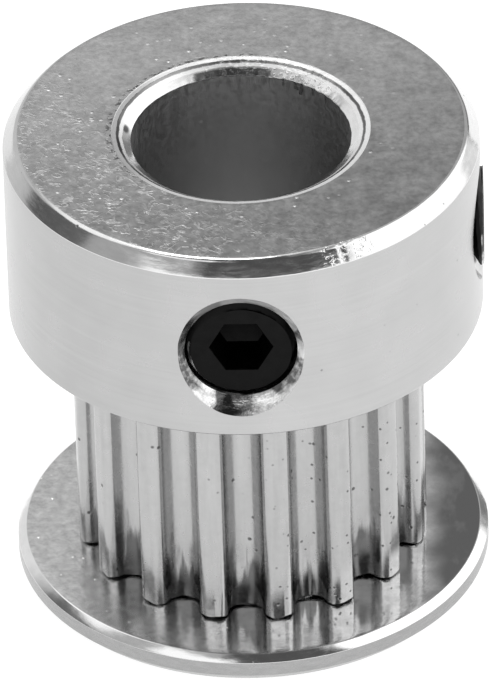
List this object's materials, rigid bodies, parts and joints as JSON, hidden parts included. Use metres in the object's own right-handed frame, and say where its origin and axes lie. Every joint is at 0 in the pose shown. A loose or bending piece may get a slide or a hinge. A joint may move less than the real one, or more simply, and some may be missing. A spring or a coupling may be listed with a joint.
{
  "type": "timing belt pulley",
  "caption": "Small toothed timing belt pulley with a thick hub above the teeth, a thin flange disc below them, a through bore and two radial set screws.",
  "frame": {"origin": "centre of the bore at the flange's lower face", "axes": "+Z along the bore towards the hub, -Y through the recessed front set screw, +X through the side set screw"},
  "size_m": [0.0131, 0.013, 0.014],
  "materials": {
    "aluminium": "machined, satin",
    "flange_metal": "turned, nearly bright",
    "black_steel": "black oxide alloy steel"
  },
  "bodies": {
    "pulley": {"pulley_body": "aluminium", "flange": "flange_metal"},
    "front_screw": {"set_screw_front": "black_steel"},
    "side_screw": {"set_screw_side": "black_steel"}
  },
  "joints": [
    {"name": "front_screw_travel", "type": "slide", "parent": "pulley", "child": "front_screw", "axis": [0, -1, 0], "range_m": [-0.00055, 0.004]},
    {"name": "side_screw_travel", "type": "slide", "parent": "pulley", "child": "side_screw", "axis": [1, 0, 0], "range_m": [-0.001, 0.0035]}
  ]
}
